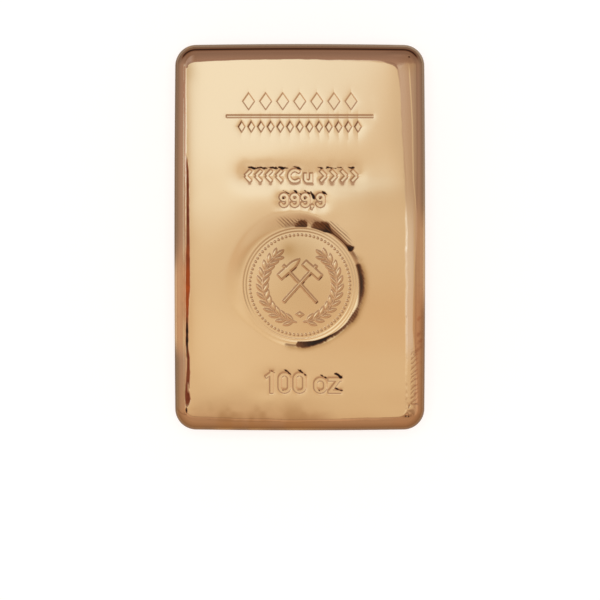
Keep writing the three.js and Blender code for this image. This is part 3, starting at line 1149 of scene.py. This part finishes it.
def pressed_copper():
    material, tree = new_material("copper_cast_then_pressed_bright")
    place = add(tree, "ShaderNodeTexCoord").outputs["Object"]
    along = Number(tree, add(tree, "ShaderNodeSeparateXYZ", {0: place}).outputs["Y"])

    def noise_field(scale_mm):
        node = add(tree, "ShaderNodeTexNoise", {"Vector": place, "Scale": 1 / (scale_mm * MM)})
        return Number(tree, node.outputs["Fac"])

    def lines(lean_degrees, spacing_mm, distortion, detail_scale):
        turn = {"Vector": place, "Rotation": (0, 0, np.radians(lean_degrees))}
        leaning = add(tree, "ShaderNodeMapping", turn, vector_type="TEXTURE").outputs[0]
        inputs = {"Vector": leaning, "Scale": wave_period / (spacing_mm * MM), "Distortion": distortion,
                  "Detail": 1.0, "Detail Scale": detail_scale}
        return Number(tree, add(tree, "ShaderNodeTexWave", inputs, bands_direction="Y").outputs["Fac"])

    def bumped(height, strength, depth_mm, **below):
        inputs = {"Height": height, "Strength": strength, "Distance": depth_mm * MM, **below}
        return add(tree, "ShaderNodeBump", inputs).outputs[0]

    unpressed, shoulder, far, rim, red = (
        mask(tree, name) for name in ("unpressed", "shoulder", "far", "rim", "red"))

    # The casting's skin, near end to far end with painted shade at the far end, and the flush with its
    # flecks.
    cast = mixed(tree, far, "#F0CFA2", "#D5B092")
    cast = mixed(tree, along.over(-40 * MM, -64 * MM), cast, "#E4BC90")
    flecks = noise_field(2.6).over(0.56, 0.68, 0.5)
    cast = mixed(tree, mask(tree, "flush"), cast, mixed(tree, flecks, "#F0AC74", "#C87444"))
    # Painted shade browns the outer shoulder, and greys it at the far end.
    shade_tint = mixed(tree, far, "#ABA193", "#ABBABC")
    cast = mixed(tree, shoulder, cast, mixed(tree, shoulder, "#FFFFFF", shade_tint), blend_type="MULTIPLY")
    # The pressed face is a little warmer in its near half, and a painted highlight makes the crest almost
    # white.
    pressed = mixed(tree, along.over(4 * MM, -28 * MM, kind="LINEAR"), "#F3D4AD", "#F7D4A7")
    pressed = mixed(tree, mask(tree, "pale"), pressed, "#FCE8D8")
    colour = mixed(tree, unpressed, pressed, cast)
    # Painted shade darkens the rim round the widest section.
    colour = mixed(tree, rim, colour, mixed(tree, far, "#7F5D40", "#6E4F34"))

    # Folds, film with painted shade, rust and near-black painted shade. The rust is patchy, and vivid only
    # along one stretch.
    folds, folded = lines(36, 1.35, 4.5, 2.0), mask(tree, "folded")
    colour = mixed(tree, folds.over(0.25, 0.0, 0.55) * folded, colour, "#B87C50")
    vivid = along.over(-36 * MM, -24 * MM, kind="LINEAR") * along.over(0, -12 * MM, kind="LINEAR")
    patchy = noise_field(3.0).over(0.32, 0.58, kind="LINEAR").at_least(vivid * 0.75)
    rust = mixed(tree, patchy, "#864432", mixed(tree, vivid, "#9A583C", "#CE6834"))
    colour = mixed(tree, mask(tree, "film_and_shade"), colour, "#B88A50")
    colour = mixed(tree, red, colour, rust)
    strokes = lines(-43, 0.9, 1.0, 0.7).over(0.3, 0.7) * mask(tree, "brushed")
    painted_shade = (mask(tree, "painted_shade") * (1.0 - strokes * 0.32)).at_least(strokes * 0.46)
    for shade, low, high in shade_by_depth:
        colour = mixed(tree, painted_shade.over(low, high, kind="LINEAR"), colour, shade)

    # Cast skin, rust and painted shade dull the polish, and three bumps tilt the light without any depth.
    roughness = rim * 0.16 + unpressed * 0.04 + painted_shade * 0.3 + red * 0.3 + 0.07
    surface = bumped(noise_field(1.6), 1.0, 0.0004)
    surface = bumped(noise_field(0.5), unpressed, 0.004, Normal=surface)
    surface = bumped(folds, folded, 0.018, Normal=surface)
    metal = add(tree, "ShaderNodeBsdfPrincipled",
                {"Base Color": colour, "Roughness": roughness, "Normal": surface, "Metallic": 1.0})
    add(tree, "ShaderNodeOutputMaterial", {"Surface": metal.outputs[0]})
    return material


ingot_surface.materials.append(pressed_copper())
ingot = bpy.data.objects.new("pressed_ingot", ingot_surface)
bpy.context.scene.collection.objects.link(ingot)
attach(ingot, "root")
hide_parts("ingot")
print("materials:", [m.name for m in ingot.data.materials])

# %% [markdown]
# ## The studio
#
# A mirror looks like what it reflects, so the light is described by direction. A big pale panel hangs
# over the block. Its far edge is only a little behind the zenith, and so the flat face mirrors the
# panel while every slope that leans away mirrors the dimmer room round it. The panel is brightest at
# the left, and it fades towards the near side. A world shader can say all this exactly, where area
# lamps would need many sizes and places to be tried.
#
# The panel is written with `px` and `py`, the sideways travel of a ray for each unit it climbs.

# %% World
panel_x, panel_y = (-0.62, 0.40), (-0.28, 0.142)  # where the panel's edges are in px and py


def studio_world():
    world = bpy.data.worlds.new("studio")
    world.use_nodes = True
    tree = world.node_tree
    tree.nodes.clear()
    direction = add(tree, "ShaderNodeTexCoord").outputs["Generated"]
    x, y, z = (Number(tree, part) for part in add(tree, "ShaderNodeSeparateXYZ", {0: direction}).outputs)
    climb = z.at_least(0.001)
    px, py = x / climb, y / climb

    def within(value, low, high, softness):
        """1 between low and high, fading to 0 over the softness on both sides."""
        rise = value.over(low - softness, low + softness)
        return rise * (1.0 - value.over(high - softness, high + softness))

    above = z.maths("GREATER_THAN", z, 0.0)
    panel = within(px, *panel_x, 0.01) * within(py, *panel_y, 0.004) * above
    brightness = py.over(0.010, 0.042) * (px.over(-0.02, 0.07) * -0.27 + 0.25) + 0.76
    left_glow = (-px).over(0.05, 0.13, 0.97) * (py.over(0.02, 0.06) * 0.4 + 0.6)
    brightness = brightness.at_least(left_glow)
    low_shade = within(py, -0.014, 0.004, 0.005) * px.over(-0.005, 0.025)
    patches = [
        # where the panel is brighter or dimmer, and by how much
        ((-py).over(0.02, 0.17), -0.42),  # the whole near side
        (px.over(0.06, 0.25), -0.12),  # the whole right
        (py.over(0.065, 0.09) * px.over(0.0, 0.03), 0.07),
        (within(py, 0.02, 0.06, 0.01) * px.over(0.005, 0.04), -0.04),
        ((-py).over(0.031, 0.043) * (-px).over(-0.015, 0.01), -0.07),
        (within(py, -0.030, 0.003, 0.006) * (-px).over(-0.015, 0.03), 0.09),
        (low_shade, -0.08),
    ]
    for share, gain in patches:
        brightness = brightness * (share * gain + 1.0)
    room = z.over(0.2, 0.65) * 0.05 + z.over(0.78, 0.92) * -0.15 + 0.68
    room = room * (y.over(0.0, 0.35) * -0.25 + 1.0) * (x.over(0.1, 0.5) * -0.06 + 1.0)
    level = brightness * panel + room * (1.0 - panel)

    # Bright parts are a little cool and dim ones warm, and the near side is warmer still.
    cool = level.over(0.76, 1.0)
    near_side = (-y).over(0.0, 0.12).at_least(low_shade)
    dim, middling, off_panel = (mixed(tree, near_side, *pair) for pair in (
        ("#FFE1D8", "#FFDDC4"), ("#FFF5E4", "#FFE7CA"), ("#FFE4D8", "#FFE0CC")))
    colour = mixed(tree, panel, off_panel, mixed(tree, level.over(0.40, 0.76), dim, middling))
    colour = mixed(tree, cool, colour, "#F0FAFF")
    warm = within(py, 0.012, 0.042, 0.012) * panel
    colour = mixed(tree, warm, colour, "#FDF8F0", blend_type="MULTIPLY")
    strength = level * (cool * 0.148 + 1.0)
    background = add(tree, "ShaderNodeBackground", {"Color": colour, "Strength": strength})
    add(tree, "ShaderNodeOutputWorld", {"Surface": background.outputs[0]})
    return world


scene = bpy.context.scene
scene.world = studio_world()
print("the world has", len(scene.world.node_tree.nodes), "nodes")

# %% [markdown]
# The floor is a wide pale disc. Seen straight on or in the metal it glows a little, so that it reads
# as white paper, and the part of it that only scatters light keeps the block's soft shadow. A lamp
# that the metal does not mirror brings the light on it up to a plain level.

# %% Floor and lamp
floor_radius = 3000
floor_z = -0.02  # a hair under the base, so that the two do not share a plane
paper_glow = 0.68


def floor_paper():
    material, tree = new_material("white_studio_paper")
    paper = add(tree, "ShaderNodeBsdfDiffuse", {"Color": "#B4B4B4"})
    path = add(tree, "ShaderNodeLightPath").outputs
    seen = Number(tree, path["Is Camera Ray"]) + path["Is Glossy Ray"] + path["Is Transmission Ray"]
    glow = add(tree, "ShaderNodeEmission", {"Color": "#FFFFFF", "Strength": seen * paper_glow})
    both = add(tree, "ShaderNodeAddShader", {0: paper.outputs[0], 1: glow.outputs[0]})
    add(tree, "ShaderNodeOutputMaterial", {"Surface": both.outputs[0]})
    return material


def stage_floor():
    mesh = bpy.data.meshes.new("studio_floor")
    angles = np.linspace(0, 2 * np.pi, 64, endpoint=False)
    ring = [(floor_radius * MM * np.cos(a), floor_radius * MM * np.sin(a), floor_z * MM) for a in angles]
    mesh.from_pydata(ring, [], [tuple(range(len(ring)))])
    mesh.materials.append(floor_paper())
    floor = bpy.data.objects.new("studio_floor", mesh)
    scene.collection.objects.link(floor)
    return floor


def lamp(name, place_mm, size_mm, power):
    data = bpy.data.lights.new(name, "AREA")
    data.shape, data.size, data.energy = "DISK", size_mm * MM, power
    light = bpy.data.objects.new(name, data)
    light.location = [c * MM for c in place_mm]
    light.rotation_euler = light.location.to_track_quat("Z", "Y").to_euler()
    light.visible_glossy = False
    light.visible_camera = False
    scene.collection.objects.link(light)
    return light


print("floor and lamp:", stage_floor().name, lamp("soft_key", (0, 0, 1500), 500, 7.5).name)

# %% [markdown]
# ## Camera
#
# The block is looked at from straight above, square on, through a long lens.

# %% Camera
camera_distance = 1000
frame_width = 208.0  # what the picture spans at the height of the block's widest section
sensor_width = 36
look_at = (0.07, -21.77, widest_z)
camera_data = bpy.data.cameras.new("overhead")
camera_data.sensor_width = sensor_width
camera_data.lens = sensor_width * camera_distance / frame_width
camera_data.clip_end = 10
camera = bpy.data.objects.new("overhead", camera_data)
camera.location = (look_at[0] * MM, look_at[1] * MM, (look_at[2] + camera_distance) * MM)
scene.collection.objects.link(camera)
scene.camera = camera
scene.view_settings.view_transform = "Standard"
print(f"a lens of {camera_data.lens:.0f} mm")
